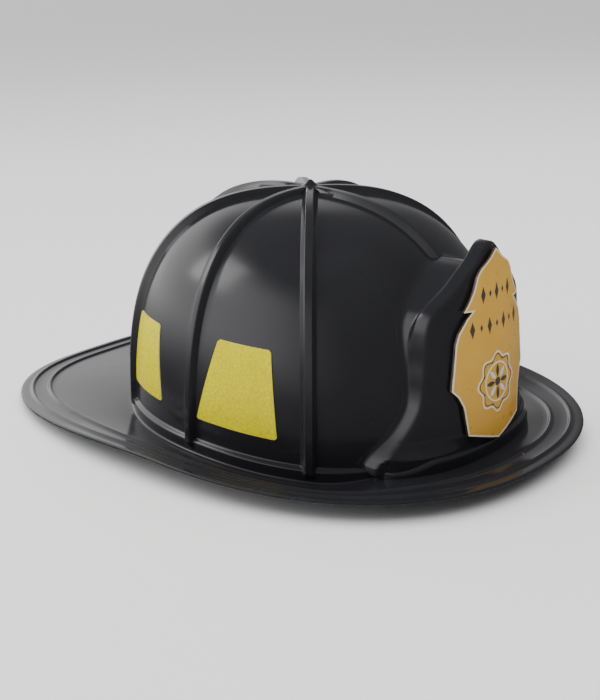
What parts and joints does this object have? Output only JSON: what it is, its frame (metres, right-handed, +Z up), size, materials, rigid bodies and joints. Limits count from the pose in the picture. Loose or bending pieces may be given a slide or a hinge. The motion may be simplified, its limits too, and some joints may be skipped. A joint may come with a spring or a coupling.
{
  "type": "firefighter helmet",
  "caption": "Costume fire chief's helmet: ribbed dome with a wide beaded brim, a tall front shield with a badge, reflective panels and a ratchet-fitted head cradle.",
  "frame": {"origin": "on the surface the helmet stands on, below the middle of its box", "axes": "-Y to the front, where the shield is; +X to the wearer's left; +Z up"},
  "size_m": [0.2482, 0.3572, 0.1393],
  "materials": {
    "shell_plastic": "glossy moulded black",
    "badge_gold": "printed gold with an off-white border",
    "mounting_foam": "closed-cell foam tape",
    "reflective_yellow": "reflective film",
    "suspension_plastic": "satin moulded nylon",
    "steel": "zinc plated",
    "webbing": "woven nylon tape",
    "padding": "brushed knit over foam",
    "knob_plastic": "fine textured",
    "gear_nylon": "natural nylon"
  },
  "bodies": {
    "helmet": {"shell": "shell_plastic", "front_badge": "badge_gold", "badge_tape": "mounting_foam", "right_side_panel": "reflective_yellow", "right_rear_panel": "reflective_yellow", "left_side_panel": "reflective_yellow", "left_rear_panel": "reflective_yellow", "headband": "suspension_plastic", "front_right_key": "suspension_plastic", "front_right_rivet": "steel", "front_left_key": "suspension_plastic", "front_left_rivet": "steel", "side_right_key": "suspension_plastic", "side_right_rivet": "steel", "side_left_key": "suspension_plastic", "side_left_rivet": "steel", "rear_key": "suspension_plastic", "rear_rivet": "steel", "cross_strap": "webbing", "long_strap": "webbing", "brow_rivet": "steel", "crown_rivet": "steel", "crown_pad": "padding", "brow_pad": "padding"},
    "cradle": {"nape_cradle": "suspension_plastic", "cradle_cover": "suspension_plastic", "cover_screw_1": "steel", "cover_screw_2": "steel", "cover_screw_3": "steel", "cover_screw_4": "steel", "nape_pad": "padding"},
    "left_strap_rack": {"left_rack": "gear_nylon"},
    "right_strap_rack": {"right_rack": "gear_nylon"},
    "knob": {"drive_pinion": "gear_nylon", "ratchet_knob": "knob_plastic", "knob_screw": "steel"}
  },
  "joints": [
    {"name": "cradle_slide", "type": "slide", "parent": "helmet", "child": "cradle", "axis": [0, -1, 0], "range_m": [0, 0.018]},
    {"name": "knob_turn", "type": "hinge", "parent": "cradle", "child": "knob", "pos_m": [0, 0.0677, 0.02201], "axis": [0, -1, 0], "range_deg": [0, 206.3]},
    {"name": "left_rack_slide", "type": "slide", "parent": "cradle", "child": "left_strap_rack", "axis": [-1, 0, 0], "range_m": [0, 0.018]},
    {"name": "right_rack_slide", "type": "slide", "parent": "cradle", "child": "right_strap_rack", "axis": [1, 0, 0], "range_m": [0, 0.018]}
  ],
  "couplings": [
    {"joint": "knob_turn", "follows": "cradle_slide", "rad_per_m": 200},
    {"joint": "left_rack_slide", "follows": "cradle_slide", "ratio": 1},
    {"joint": "right_rack_slide", "follows": "cradle_slide", "ratio": 1}
  ]
}
